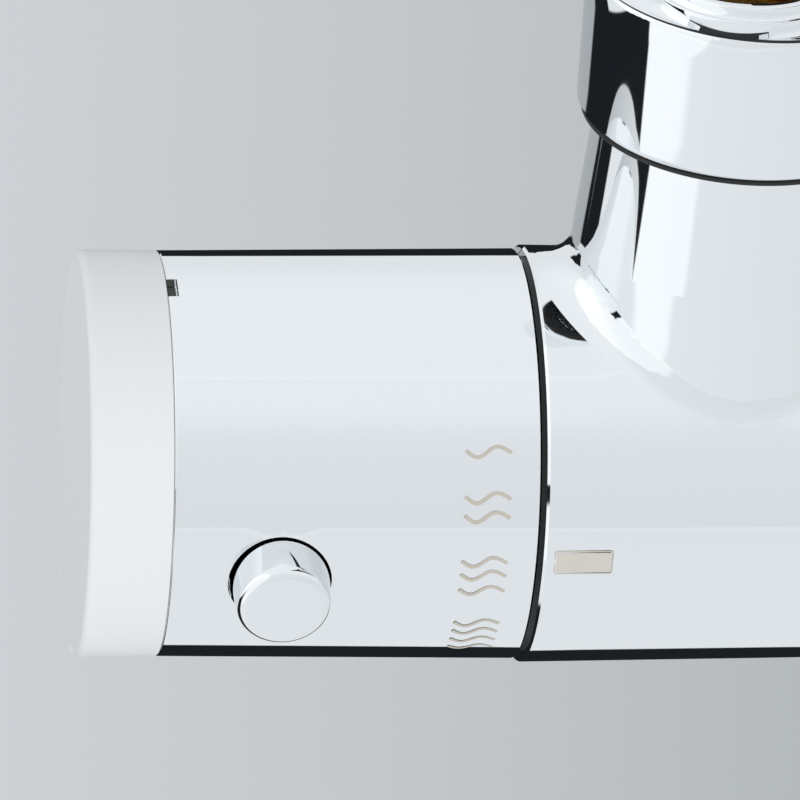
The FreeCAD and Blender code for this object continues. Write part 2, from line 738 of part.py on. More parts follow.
headwork = new_body("headwork_body", ALONG_BAR)
turned(headwork, [
    (48.0, 9.15), (48.0, 11.8), (60.0, 11.8), (60.0, 12.4), (64.0, 12.4), (64.0, 10.7),
    (66.2, 10.7), (66.2, 12.4), (72.0, 12.4), (72.0, 15.4), (76.5, 15.4), (76.5, 9.0),
    (90.0, 9.0), (90.0, 5.1), (66.0, 5.1), (66.0, 7.5), (61.0, 9.15),
])
side_port = extrude(headwork, [[(7.0, -3.2), (14.0, -3.2), (14.0, 3.2), (7.0, 3.2)]], 3.4,
                    offset=59.8, cut=True)
around(headwork, side_port, 4)
rings("headwork_seal", None, [(ALONG_BAR, 65.1, 11.6, 0.87)])

fixed_disc = new_body("fixed_ceramic_disc", ALONG_BAR)
turned(fixed_disc, [(48.2, 0.0), (48.2, 9.1), (51.3, 9.1), (51.3, 0.0)])
port = extrude(fixed_disc, [(4.6, 0.0, 2.6)], 4.0, offset=47.5, cut=True, reverse=True)
around(fixed_disc, port, 2)
moving_disc = new_body("turning_ceramic_disc", ALONG_BAR)
turned(moving_disc, [(51.3, 0.0), (51.3, 9.05), (54.3, 9.05), (54.3, 0.0)])
port = extrude(moving_disc, [(0.0, 4.6, 2.6)], 4.0, offset=50.8, cut=True, reverse=True)
around(moving_disc, port, 2)

flow_spindle = new_body("flow_spindle", ALONG_BAR)
turned(flow_spindle, [
    (54.3, 0.0), (54.3, 9.05), (56.0, 9.05), (56.0, 5.03), (114.0, 5.03), (114.0, 2.0),
    (104.0, 2.0), (104.0, 0.0),
])
port = extrude(flow_spindle, [(0.0, 6.6, 1.6)], 4.0, offset=53.0, cut=True, reverse=True)
around(flow_spindle, port, 2)

# ---------------------------------------------------------------- hose outlet
boss = new_body("outlet_boss", DOWN)
turned(boss, [
    (21.4, "boss_bore_r"), (21.4, "boss_r"), (29.2, "boss_r"), (30.0, ("boss_r", -0.8)),
    (30.0, "boss_bore_r"),
])
washer = new_body("outlet_washer", DOWN)
turned(washer, ring(30.0, 30.8, 8.8, 12.4))
nipple = new_body("outlet_nipple", DOWN)
turned(nipple, [
    (21.0, 6.5), (21.0, 8.5), (30.8, 8.5), (30.8, 12.6), (33.6, 12.6), (33.6, "outlet_r"),
    (("outlet_end", -0.7), "outlet_r"), ("outlet_end", ("outlet_r", -0.7)),
    ("outlet_end", 6.5),
])

doc.recompute()

# ---------------------------------------------------------------- checks and export
os.makedirs("parts", exist_ok=True)
faults = []
for item in doc.Objects:
    state = [word for word in item.State if word in ("Invalid", "Error")]
    if state:
        faults.append("%s: %s" % (item.Label, ", ".join(state)))
for part in DRAWN:
    shape = part.Shape
    if shape.isNull() or not shape.isValid() or not shape.Solids:
        faults.append("%s: no valid solid" % part.Label)
    else:
        shape.exportStep("parts/%s.step" % part.Label)
        box = shape.BoundBox
        print("%-24s solids %d volume %9.1f  x %7.1f %7.1f  y %7.1f %7.1f  z %7.1f %7.1f" % (
            part.Label, len(shape.Solids), shape.Volume, box.XMin, box.XMax,
            box.YMin, box.YMax, box.ZMin, box.ZMax))
if faults:
    raise RuntimeError("; ".join(faults))
print("drawn", len(DRAWN))
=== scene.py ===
import json
import math

import bmesh
import bpy
from mathutils import Matrix, Vector

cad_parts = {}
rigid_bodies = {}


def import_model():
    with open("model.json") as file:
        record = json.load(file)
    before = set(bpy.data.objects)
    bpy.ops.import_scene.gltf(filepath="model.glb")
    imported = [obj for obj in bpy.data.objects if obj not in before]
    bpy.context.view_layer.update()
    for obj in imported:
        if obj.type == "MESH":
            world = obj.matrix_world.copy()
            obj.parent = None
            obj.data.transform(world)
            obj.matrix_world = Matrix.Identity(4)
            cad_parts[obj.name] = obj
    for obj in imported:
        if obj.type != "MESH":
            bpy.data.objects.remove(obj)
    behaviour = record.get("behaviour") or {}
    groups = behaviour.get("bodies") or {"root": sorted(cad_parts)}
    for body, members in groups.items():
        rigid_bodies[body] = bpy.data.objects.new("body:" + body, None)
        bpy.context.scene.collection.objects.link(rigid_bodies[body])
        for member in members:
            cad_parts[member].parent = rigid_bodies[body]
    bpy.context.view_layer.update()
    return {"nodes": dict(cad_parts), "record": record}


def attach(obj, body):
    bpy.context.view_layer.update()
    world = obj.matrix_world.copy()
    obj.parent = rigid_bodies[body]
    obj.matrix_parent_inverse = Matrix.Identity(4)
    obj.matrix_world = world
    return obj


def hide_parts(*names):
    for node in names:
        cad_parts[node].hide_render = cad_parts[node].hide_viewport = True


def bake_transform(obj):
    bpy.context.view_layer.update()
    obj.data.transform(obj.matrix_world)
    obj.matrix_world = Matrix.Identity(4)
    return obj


# Thermostatic bar shower valve. Metres: +X along the bar from the temperature handle to the
# flow handle, +Y towards the wall, +Z up, origin midway between the two inlet mouths.

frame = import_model()
nodes = frame["nodes"]

MM = 0.001
BAR_Y, BAR_Z = -67.8 * MM, -7.3 * MM       # the bar's axis
GAP_X = 95.8 * MM           # gaps beside the handles, from the middle
INLET_X = 75.0 * MM         # inlet bores
COLLAR_X = 72.5 * MM        # necks and their collars, which the inlets sit off centre on
SLEEVE_R = 24.36 * MM       # handles' sleeves
BODY_R = 24.83 * MM         # the body between them
PIPE_PITCH = 1.814          # G 1/2 thread, mm from turn to turn
PIPE_DEPTH = 1.162          # and from crest to root


# ------------------------------------------------------------------ materials: helpers
def linear(text, level=1.0):
    """'#rrggbb' as linear light, the way shaders want it."""
    parts = [int(text[i:i + 2], 16) / 255 for i in (1, 3, 5)]
    parts = [c / 12.92 if c <= 0.04045 else ((c + 0.055) / 1.055) ** 2.4 for c in parts]
    return (*(c * level for c in parts), 1.0)


def add(tree, kind, inputs=None, out=0, **settings):
    """Adds a node; an input is a value or another node's output. Returns the output out."""
    node = tree.nodes.new("ShaderNode" + kind)
    for name, value in settings.items():
        setattr(node, name, value)
    for socket, value in (inputs or {}).items():
        if isinstance(value, bpy.types.NodeSocket):
            tree.links.new(value, node.inputs[socket])
        else:
            node.inputs[socket].default_value = value
    return node.outputs[out] if len(node.outputs) else node


def new_material(name):
    """An empty material, its node tree, and the point on the part in metres."""
    material = bpy.data.materials.new(name)
    material.use_nodes = True
    material.node_tree.nodes.clear()
    place = add(material.node_tree, "TexCoord", out="Object")
    return material, material.node_tree, place


COLOUR_A, COLOUR_B, MIXED = 6, 7, 2     # sockets of a Mix node that mixes colours


# ------------------------------------------------------------------ metal finishes
def polished_chrome(name, tint, wave_mm=14.0, wave_depth=0.0000045, haze=0.035):
    """Bright chromium over nickel on a buffed casting: the buffing leaves a long, faint
    waviness that bends reflected edges, and wiping leaves a slightly uneven haze."""
    material, tree, place = new_material(name)
    waves = add(tree, "TexNoise", {"Vector": place, "Scale": 1000 / wave_mm, "Detail": 1.0})
    wiping = add(tree, "TexNoise", {"Vector": place, "Scale": 1000 / 6.0, "Detail": 4.0})
    rough = add(tree, "MapRange", {"Value": wiping, "To Min": haze * 0.6, "To Max": haze * 1.4})
    bump = add(tree, "Bump", {"Height": waves, "Strength": 1.0, "Distance": wave_depth})
    shader = add(tree, "BsdfPrincipled", {"Base Color": linear(tint), "Metallic": 1.0,
                                          "Roughness": rough, "Normal": bump})
    add(tree, "OutputMaterial", {"Surface": shader})
    return material


def union_chrome(name, tint, bare):
    """Chrome outside, and bare turned brass where the pipe thread is cut: plating doesn't
    reach into the bore, so it stays yellow and a little duller."""
    material, tree, place = new_material(name)
    x, y, z = [add(tree, "SeparateXYZ", {"Vector": place}, out=axis) for axis in "XYZ"]
    across = add(tree, "Math", {0: x}, operation="ABSOLUTE")
    beside = add(tree, "Math", {0: across, 1: INLET_X}, operation="SUBTRACT")
    from_axis = add(tree, "CombineXYZ", {"X": beside, "Z": z})
    radius = add(tree, "VectorMath", {0: from_axis}, out="Value", operation="LENGTH")
    narrow = add(tree, "Math", {0: radius, 1: 10.6 * MM}, operation="LESS_THAN")
    deep = add(tree, "Math", {0: y, 1: -0.3 * MM}, operation="LESS_THAN")
    inside = add(tree, "Math", {0: narrow, 1: deep}, operation="MULTIPLY")
    waves = add(tree, "TexNoise", {"Vector": place, "Scale": 1000 / 14.0, "Detail": 1.0})
    polish = add(tree, "Bump", {"Height": waves, "Strength": 1.0, "Distance": 0.000004})
    colour = add(tree, "Mix", {0: inside, COLOUR_A: linear(tint), COLOUR_B: linear(bare)},
                 out=MIXED, data_type="RGBA")
    rough = add(tree, "MapRange", {"Value": inside, "To Min": 0.035, "To Max": 0.26})
    shader = add(tree, "BsdfPrincipled", {"Base Color": colour, "Metallic": 1.0,
                                          "Roughness": rough, "Normal": polish})
    add(tree, "OutputMaterial", {"Surface": shader})
    return material


def satin_lacquer(name, tint, grain_mm=0.3):
    """Silver lacquer on moulded plastic: fine metal flake under a matt clear coat, so it
    shows light and shade but no image. The flake is drawn at 0.3 mm, coarser than the real
    0.05 mm, so that it shows as a faint grain."""
    material, tree, place = new_material(name)
    grain = add(tree, "TexNoise", {"Vector": place, "Scale": 1000 / grain_mm, "Detail": 2.0})
    cloud = add(tree, "TexNoise", {"Vector": place, "Scale": 1000 / 9.0, "Detail": 2.0})
    rough = add(tree, "MapRange", {"Value": cloud, "To Min": 0.44, "To Max": 0.50})
    shade = add(tree, "Mix", {0: grain, COLOUR_A: linear(tint, 0.97), COLOUR_B: linear(tint, 1.02)},
                out=MIXED, data_type="RGBA")
    bump = add(tree, "Bump", {"Height": grain, "Strength": 0.3, "Distance": 0.00002})
    shader = add(tree, "BsdfPrincipled", {"Base Color": shade, "Metallic": 0.0,
                                          "Specular IOR Level": 0.15,
                                          "Roughness": rough, "Normal": bump})
    add(tree, "OutputMaterial", {"Surface": shader})
    return material


def turned_metal(name, tint, axis, pitch_mm, rough, depth=0.000004):
    """Metal straight off the lathe: fine rings square to its axis, one per tool feed."""
    material, tree, place = new_material(name)
    rings = add(tree, "TexWave", {"Vector": place, "Scale": 1000 / pitch_mm / 20,
                                  "Distortion": 0.6, "Detail": 1.0},
                out="Fac", wave_type="BANDS", bands_direction=axis)
    stain = add(tree, "TexNoise", {"Vector": place, "Scale": 1000 / 5.0, "Detail": 3.0})
    level = add(tree, "MapRange", {"Value": stain, "To Min": rough * 0.8, "To Max": rough * 1.25})
    bump = add(tree, "Bump", {"Height": rings, "Strength": 0.6, "Distance": depth})
    shader = add(tree, "BsdfPrincipled", {"Base Color": linear(tint), "Metallic": 1.0,
                                          "Roughness": level, "Normal": bump})
    add(tree, "OutputMaterial", {"Surface": shader})
    return material


def woven_mesh(name, tint, spacing_mm=0.6):
    """Stainless wire cloth: two sets of 0.25 mm wires at 0.6 mm spacing, with the gaps between them
    painted dark as the shade seen through the holes.
    """
    material, tree, place = new_material(name)
    wires = None
    for channel in "XZ":
        along = add(tree, "SeparateXYZ", {"Vector": place}, out=channel)
        count = add(tree, "Math", {0: along, 1: 1000 / spacing_mm}, operation="MULTIPLY")
        phase = add(tree, "Math", {0: count, 1: 0.5}, operation="PINGPONG")
        row = add(tree, "Math", {0: phase, 1: 0.28}, operation="GREATER_THAN")
        wires = row if wires is None else add(tree, "Math", {0: wires, 1: row}, operation="MAXIMUM")
    # painted shade: the gaps between the wires get near-black in place of the dark inside seen
    # through them
    colour = add(tree, "Mix", {0: wires, COLOUR_A: linear("#1a1b1c"), COLOUR_B: linear(tint)},
                 out=MIXED, data_type="RGBA")
    bump = add(tree, "Bump", {"Height": wires, "Strength": 0.8, "Distance": 0.0002})
    shader = add(tree, "BsdfPrincipled", {"Base Color": colour, "Metallic": 1.0,
                                          "Roughness": 0.32, "Normal": bump})
    add(tree, "OutputMaterial", {"Surface": shader})
    return material


# ------------------------------------------------------------------ plastics, rubber, ceramic
def moulded(name, tint, rough, grain_mm, depth, spread=0.05):
    """Moulded or pressed material: a fine skin grain and a slightly uneven gloss."""
    material, tree, place = new_material(name)
    grain = add(tree, "TexNoise", {"Vector": place, "Scale": 1000 / grain_mm, "Detail": 3.0})
    cloud = add(tree, "TexNoise", {"Vector": place, "Scale": 1000 / 8.0, "Detail": 2.0})
    level = add(tree, "MapRange", {"Value": cloud, "To Min": rough * 0.85, "To Max": rough * 1.2})
    shade = add(tree, "Mix", {0: cloud, COLOUR_A: linear(tint, 1 - spread),
                              COLOUR_B: linear(tint, 1 + spread)}, out=MIXED, data_type="RGBA")
    bump = add(tree, "Bump", {"Height": grain, "Strength": 0.4, "Distance": depth})
    shader = add(tree, "BsdfPrincipled", {"Base Color": shade, "Roughness": level, "Normal": bump})
    add(tree, "OutputMaterial", {"Surface": shader})
    return material


FINISHES = {
    "chrome_body": polished_chrome("polished_chrome_casting", "#e8ebed", 16.0, 0.000006),
    "chrome_union": union_chrome("chrome_union_with_brass_bore", "#e8ebed", "#c9a35a"),
    "chrome_sleeve": polished_chrome("polished_chrome_sleeve", "#e8ebed", 22.0, 0.0000015, 0.03),
    "satin_cap": satin_lacquer("satin_silver_lacquer", "#f2f3f3"),
    "chrome_button": polished_chrome("polished_chrome_button", "#e8ebed", 6.0, 0.000002, 0.04),
    "brass_turned": turned_metal("turned_brass", "#c8a45c", "X", 0.25, 0.24),
    "chrome_nipple": turned_metal("chromed_hose_thread", "#e2e5e7", "Z", 0.4, 0.07),
    "steel_screw": turned_metal("stainless_screw_steel", "#b9babb", "X", 0.3, 0.28),
    "spring_steel": turned_metal("drawn_spring_wire", "#a9abad", "Y", 0.5, 0.22),
    "filter_mesh": woven_mesh("stainless_wire_cloth", "#b4b5b6"),
    "seal_rubber": moulded("black_nitrile_rubber", "#161616", 0.55, 0.4, 0.00002),
    "washer_rubber": moulded("black_fibre_rubber", "#1f1e1d", 0.7, 0.5, 0.00004),
    "black_plastic": moulded("black_acetal", "#0d0e0f", 0.5, 0.3, 0.00002),
    "white_plastic": moulded("white_acetal", "#dddcd6", 0.4, 0.3, 0.00002),
    "grey_plastic": moulded("grey_glass_filled_nylon", "#5d6063", 0.5, 0.3, 0.00003),
    "copper_capsule": turned_metal("drawn_copper_capsule", "#b9714f", "X", 0.35, 0.25),
    "ceramic_white": moulded("ground_alumina", "#e9e6dd", 0.2, 0.2, 0.00001),
}
# laser-etched marks filled with pale lacquer: matt, and a little speckled in the fill
MARK_FILL = moulded("sand_lacquer_fill", "#c9c3b7", 0.6, 0.35, 0.00002, 0.07)
INDEX_FILL = moulded("pale_lacquer_fill", "#d6d1c8", 0.6, 0.35, 0.00002, 0.06)
# bare zinc at the bottom of the pry notch, painted darker as the shade inside the notch (painted
# shade)
NOTCH_SHADED_ZINC = moulded("zinc_with_painted_notch_shade", "#4a4b44", 0.55, 0.4, 0.00003, 0.12)

slots = {row["node"]: row["material_slot"] for row in frame["record"]["subparts"]}
for name, node in nodes.items():
    node.data.materials.clear()
    node.data.materials.append(FINISHES[slots[name]])


# ------------------------------------------------------------------ mesh helpers
def new_piece(name, mesh, material, body):
    """Turns a bmesh into a smooth piece that rides on a body."""
    bmesh.ops.recalc_face_normals(mesh, faces=mesh.faces)
    data = bpy.data.meshes.new(name)
    mesh.to_mesh(data)
    mesh.free()
    data.shade_smooth()
    data.materials.append(material)
    piece = bpy.data.objects.new(name, data)
    bpy.context.scene.collection.objects.link(piece)
    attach(piece, body)
    return piece


def full_turn(around):
    """Evenly spaced angles of a full turn, in radians."""
    return [2 * math.pi * index / around for index in range(around)]


def join_rings(mesh, rings):
    """Skins each ring of points to the next. A ring of one point closes the skin there."""
    for one, two in zip(rings, rings[1:]):
        around = max(len(one), len(two))
        for index in range(around):
            after = (index + 1) % around
            corners = (one[index % len(one)], one[after % len(one)],
                       two[after % len(two)], two[index % len(two)])
            mesh.faces.new(list(dict.fromkeys(corners)))


def on_bar(x, turn, radius):
    """A point on the bar: turn in degrees from straight up towards the wall."""
    at = math.radians(turn)
    return Vector((x, BAR_Y + radius * math.sin(at), BAR_Z + radius * math.cos(at)))


def strip_on_bar(name, centre_line, half_width, radius, material, body):
    """A thin curved strip that follows (x, arc length) points on a cylinder of the bar."""
    mesh = bmesh.new()
    rows = []
    last = len(centre_line) - 1
    for index, (x, s) in enumerate(centre_line):
        before, after = centre_line[max(index - 1, 0)], centre_line[min(index + 1, last)]
        dx, ds = after[0] - before[0], after[1] - before[1]
        length = math.hypot(dx, ds)
        nx, ns = -ds / length * half_width, dx / length * half_width
        row = []
        for side in (-1, -0.5, 0, 0.5, 1):
            lift = (0.012 + 0.010 * (1 - side * side)) * MM
            turn = math.degrees((s + ns * side) / radius)
            row.append(mesh.verts.new(on_bar(x + nx * side, turn, radius + lift)))
        rows.append(row)
    for one, two in zip(rows, rows[1:]):
        for a in range(4):
            mesh.faces.new((one[a], two[a], two[a + 1], one[a + 1]))
    return new_piece(name, mesh, material, body)


# ------------------------------------------------------------------ marks
def wave_line(x_middle, turn, radius, steps=40):
    """One heat wave: a trough on the left and a longer crest on the right, 5.3 mm long."""
    start, length, height_mm, half_wave = -2.5, 5.33, 0.62, 2.29
    crest, stretch = 1.14, 0.75
    points = []
    for index in range(steps + 1):
        along = start + length * index / steps
        eased = along if along < crest else crest + (along - crest) * stretch
        height = height_mm * math.sin(math.pi * eased / half_wave)
        points.append((x_middle + along * MM, math.radians(turn) * radius + height * MM))
    return points


# heat waves etched on the sleeve: the turn of each wave, in degrees, by group
HEAT_WAVES = [("one", [30.0]), ("two", [17.3, 11.9]), ("three", [-1.7, -6.1, -11.4]),
              ("four", [-25.0, -29.2, -34.1, -39.3])]
MARK_X = GAP_X + 6.7 * MM       # middle of a handle's marks
STROKE = 0.23 * MM              # half the width of an etched line
for word, turns in HEAT_WAVES:
    for number, turn in enumerate(turns, start=1):
        strip_on_bar("heat_wave_%s_%d" % (word, number), wave_line(-MARK_X, turn, SLEEVE_R),
                     STROKE, SLEEVE_R, MARK_FILL, "temperature_handle")


def rounded_box_line(x_low, x_high, s_low, s_high, corner, steps=6):
    """Closed outline of a rectangle with rounded corners, as (x, arc length) points."""
    points = []
    for cx, cs, start in ((x_high - corner, s_high - corner, 0),
                          (x_low + corner, s_high - corner, 90),
                          (x_low + corner, s_low + corner, 180),
                          (x_high - corner, s_low + corner, 270)):
        for index in range(steps + 1):
            at = math.radians(start + 90 * index / steps)
            points.append((cx + corner * math.cos(at), cs + corner * math.sin(at)))
    return points + [points[0]]


def index_mark(name, side):
    """The filled rectangle on the body that a handle's marks are read against."""
    middle = math.radians(-1.1) * BODY_R
    half, inset = 1.5 * MM, 0.2 * MM
    x_low, x_high = sorted((side * (GAP_X - 1.6 * MM), side * (GAP_X - 8.4 * MM)))
    s_low, s_high = middle - half, middle + half
    outline = rounded_box_line(x_low, x_high, s_low, s_high, 0.35 * MM)
    strip_on_bar(name + "_border", outline, 0.07 * MM, BODY_R, MARK_FILL, "valve")
    line = [(x_low + inset + (x_high - x_low - 2 * inset) * i / 12, middle) for i in range(13)]
    strip_on_bar(name + "_fill", line, half - inset, BODY_R, INDEX_FILL, "valve")


index_mark("temperature_index", -1)
index_mark("flow_index", 1)

# flow handle: a row of strokes that grow from closed to open
for number in range(7):
    turn = -6.0 - 12.0 * number
    half = (0.5 + 0.32 * number) * MM
    line = [(MARK_X - half + 2 * half * i / 10, math.radians(turn) * SLEEVE_R) for i in range(11)]
    strip_on_bar("flow_stroke_%d" % (number + 1), line, STROKE, SLEEVE_R, MARK_FILL,
                 "flow_handle")

# floor of the pry notch beside the end cap, just above the cut in the sleeve: dark zinc with the
# notch's shade painted in
NOTCH_X, NOTCH_TURN, NOTCH_R = -138.62, 83.0, 22.86 * MM
NOTCH_HALF_WIDTH = 1.62 * MM
notch_line = [((NOTCH_X + 1.1 * i / 4) * MM, math.radians(NOTCH_TURN) * NOTCH_R)
              for i in range(5)]
strip_on_bar("pry_notch_floor", notch_line, NOTCH_HALF_WIDTH, NOTCH_R, NOTCH_SHADED_ZINC,
             "temperature_handle")


# ------------------------------------------------------------------ pipe threads
def thread_height(along_mm, turn, start_mm, end_mm):
    """How far the thread stands up, 0 to 1, at a place along and a turn in radians. Both
    ends fade in over half a pitch, as a cut thread does."""
    phase = (along_mm / PIPE_PITCH - turn / (2 * math.pi)) % 1.0
    ridge = min(1.0, max(0.0, (abs(phase - 0.5) * 2 - 0.08) / 0.84))
    fade = min(along_mm - start_mm, end_mm - along_mm) / (0.5 * PIPE_PITCH)
    return ridge, min(1.0, max(0.0, fade))


def hose_outlet():
    """The G 1/2 hose nipple turned as one skin, with its thread cut as a real helix."""
    top, bottom, run_out, crest = 34.6, 44.8, 45.6, 10.48       # the thread, mm below the axis
    nipple = [(21.0, 6.5), (21.0, 8.5), (30.8, 8.5), (30.8, 12.45), (30.95, 12.6),
              (33.45, 12.6), (33.6, 12.45), (33.6, 9.4), (top, 9.4)]
    steps = int((bottom - top) / PIPE_PITCH * 10)
    nipple += [(top + (bottom - top) * i / steps, crest) for i in range(1, steps + 1)]
    nipple += [(45.5, 9.78), (45.5, 6.9), (45.1, 6.5)]
    mesh = bmesh.new()
    rings = []
    for down, radius in nipple:
        ring = []
        for turn in full_turn(96):
            r = radius
            if radius == crest:
                ridge, fade = thread_height(down, turn, top, run_out)
                r = radius - PIPE_DEPTH * (1 - ridge * fade)
            ring.append(mesh.verts.new((r * MM * math.cos(turn), BAR_Y + r * MM * math.sin(turn),
                                        BAR_Z - down * MM)))
        rings.append(ring)
    join_rings(mesh, rings + rings[:1])
    piece = new_piece("outlet_nipple_threaded", mesh, FINISHES["chrome_nipple"], "valve")
    piece.data.set_sharp_from_angle(angle=math.radians(35))
    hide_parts("outlet_nipple")


hose_outlet()


# ------------------------------------------------------------------ collars of the unions
def round_neck(side, out_mm, radius_mm, turn):
    """A point round a neck's axis: millimetres out from the bar and from the neck's axis."""
    return (side * COLLAR_X + radius_mm * MM * math.cos(turn), BAR_Y + out_mm * MM,
            BAR_Z + radius_mm * MM * math.sin(turn))


def collar_shade_ring(side, name):
    """A thin black ring under a union's collar, in the rubber finish: painted shade and reflection,
    standing in for the shadow gap and the black reflection at the collar's lower edge.
    """
    profile = [(45.62, 17.0), (45.55, 17.1), (45.55, 18.5), (45.62, 18.66), (45.78, 18.74),
               (46.0, 18.74), (46.14, 18.6), (46.14, 17.0)]
    mesh = bmesh.new()
    rings = [[mesh.verts.new(round_neck(side, out, radius, turn)) for turn in full_turn(160)]
             for out, radius in profile]
    join_rings(mesh, rings + rings[:1])
    piece = new_piece(name, mesh, FINISHES["seal_rubber"], "valve")


def collar_reflection_line(side, name):
    """A painted dark reflection: a black strip round a collar's outer fillet, wider towards the
    front. It lies 0.02 mm over the fillet."""
    fillet_out, fillet_r, over_fillet, middle = 63.5, 18.65, 0.72, math.radians(55.0)
    mesh = bmesh.new()
    rows = []
    for turn in full_turn(160):
        # the painted reflection is widest towards the front, at the top of the neck's turn
        half = math.radians(3.0 + 12.0 * max(0.0, math.sin(turn)) ** 2)
        leans = [middle + half * (step / 2 - 1) for step in range(5)]
        rows.append([mesh.verts.new(round_neck(side, fillet_out + over_fillet * math.sin(lean),
                                               fillet_r + over_fillet * math.cos(lean), turn))
                     for lean in leans])
    for one, two in zip(rows, rows[1:] + rows[:1]):
        for step in range(4):
            mesh.faces.new((one[step], two[step], two[step + 1], one[step + 1]))
    piece = new_piece(name, mesh, FINISHES["seal_rubber"], "valve")


# black rings under the collars that paint their shadow gap and dark reflection
collar_shade_ring(-1, "collar_seal_left")
collar_shade_ring(1, "collar_seal_right")
# dark strips over the collars' outer fillets that paint the dark reflection there
collar_reflection_line(-1, "collar_joint_left")
collar_reflection_line(1, "collar_joint_right")


# ------------------------------------------------------------------ safety button
def domed_button():
    """The safety button turned as one skin, with the photo's rounded edge and slight taper."""
    face, edge = 29.3, 1.4          # face from the bar's axis, and its rounding, mm
    profile = [(25.6, 0.0), (25.6, 4.2), (16.6, 4.2), (16.6, 6.93), (18.1, 6.93), (18.1, 5.85),
               (24.2, 5.74), (face - edge, 4.1 + edge)]
    for step in range(1, 11):
        lean = math.radians(9 * step)
        profile.append((face - edge + edge * math.sin(lean), 4.1 + edge * math.cos(lean)))
    profile += [(face, 3.0), (face, 0.0)]
    tilt = math.radians(-8.5)
    out = Vector((0.0, math.sin(tilt), math.cos(tilt)))
    sideways = Vector((0.0, math.cos(tilt), -math.sin(tilt)))
    foot = Vector((-125.9 * MM, BAR_Y, BAR_Z))
    mesh = bmesh.new()
    rings = []
    for along, radius in profile:
        centre = foot + out * along * MM
        rings.append([mesh.verts.new(centre + Vector((math.cos(turn), 0.0, 0.0)) * radius * MM
                                     + sideways * math.sin(turn) * radius * MM)
                      for turn in full_turn(96 if radius else 1)])
    join_rings(mesh, rings)
    piece = new_piece("safety_button_domed", mesh, FINISHES["chrome_button"], "button")
    piece.data.set_sharp_from_angle(angle=math.radians(35))
    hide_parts("safety_button")


domed_button()


# ------------------------------------------------------------------ wall unions
def thread_tool(side):
    """The bar of metal that a thread tool takes out of an inlet bore, as a closed mesh."""
    start, end, around = 0.9, -10.9, 48         # mm along the bore, and points to a turn
    profile = [(-0.80, 8.9), (-0.12, 10.35), (0.12, 10.35), (0.80, 8.9)]
    mesh = bmesh.new()
    rings = []
    for index in range(int((start - end) / PIPE_PITCH * around) + 1):
        turn = 2 * math.pi * index / around
        y = start - PIPE_PITCH * index / around
        rings.append([mesh.verts.new((side * INLET_X + r * MM * math.cos(turn), (y + dy) * MM,
                                      r * MM * math.sin(turn))) for dy, r in profile])
    join_rings(mesh, rings)
    mesh.faces.new(rings[0])
    mesh.faces.new(list(reversed(rings[-1])))
    bmesh.ops.recalc_face_normals(mesh, faces=mesh.faces)
    data = bpy.data.meshes.new("thread_tool")
    mesh.to_mesh(data)
    mesh.free()
    return data


def threaded_union(side, name):
    """A copy of the wall union with its G 1/2 thread cut into the bore as a real helix."""
    collection = bpy.context.scene.collection.objects
    tool = bpy.data.objects.new("thread_tool", thread_tool(side))
    collection.link(tool)
    blank = bpy.data.objects.new("union_blank", nodes[name].data.copy())
    collection.link(blank)
    welded = bmesh.new()
    welded.from_mesh(blank.data)
    bmesh.ops.remove_doubles(welded, verts=welded.verts, dist=0.000001)
    welded.to_mesh(blank.data)
    welded.free()
    cut = blank.modifiers.new("thread", "BOOLEAN")
    cut.object = tool
    cut.operation = "DIFFERENCE"
    cut.solver = "EXACT"
    done = bpy.data.meshes.new_from_object(blank.evaluated_get(
        bpy.context.evaluated_depsgraph_get()))
    for extra in (tool, blank):
        bpy.data.objects.remove(extra)
    done.materials.clear()
    done.materials.append(FINISHES["chrome_union"])
    done.shade_smooth()
    done.set_sharp_from_angle(angle=math.radians(30))
    piece = bpy.data.objects.new(name + "_threaded", done)
    collection.link(piece)
    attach(piece, "valve")
    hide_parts(name)


threaded_union(-1, "union_left")
threaded_union(1, "union_right")


# ------------------------------------------------------------------ springs
def working_spring(name, moving, fixed, pushed_mm, seated_mm):
    """A copy of a coil spring with its placement baked into the mesh, shown in place of the CAD
    spring, which is hidden."""
    piece = bpy.data.objects.new(name + "_coiled", nodes[name].data.copy())
    bpy.context.scene.collection.objects.link(piece)
    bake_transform(piece)
    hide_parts(name)


# spring, body that pushes it, body that it stands on, and its two ends in mm
SPRINGS = [
    ("return_spring", "thermostat_carriage", "valve", (-59.8, -67.8, -7.3), (-42.2, -67.8, -7.3)),
    ("button_spring", "button", "temperature_handle", (-126.0, -71.5, 17.8), (-126.0, -69.8, 6.2)),
    ("check_spring_left", "check_left", "valve", (-72.5, -18.3, -7.3), (-72.5, -29.3, -7.3)),
    ("check_spring_right", "check_right", "valve", (72.5, -18.3, -7.3), (72.5, -29.3, -7.3)),
]
for row in SPRINGS:
    working_spring(*row)


# ------------------------------------------------------------------ stage, light, camera
# the camera's own directions; the tent stands square to them
RIGHT = Vector((0.99143538, 0.06468393, 0.11345430))
UP = Vector((-0.00096123, 0.87231860, -0.48893694))
BACK = Vector((-0.13059466, 0.48464033, 0.86490970))

scene = bpy.context.scene
scene.view_settings.view_transform = "Standard"

camera_data = bpy.data.cameras.new("camera")
camera_data.sensor_width = 36.0
camera_data.lens = 296.97
camera_data.clip_end = 20.0
camera = bpy.data.objects.new("camera", camera_data)
facing = Matrix((RIGHT, UP, BACK)).transposed()
camera.matrix_world = Matrix.Translation((-0.21193, 0.31785, 0.66807)) @ facing.to_4x4()
scene.collection.objects.link(camera)
scene.camera = camera
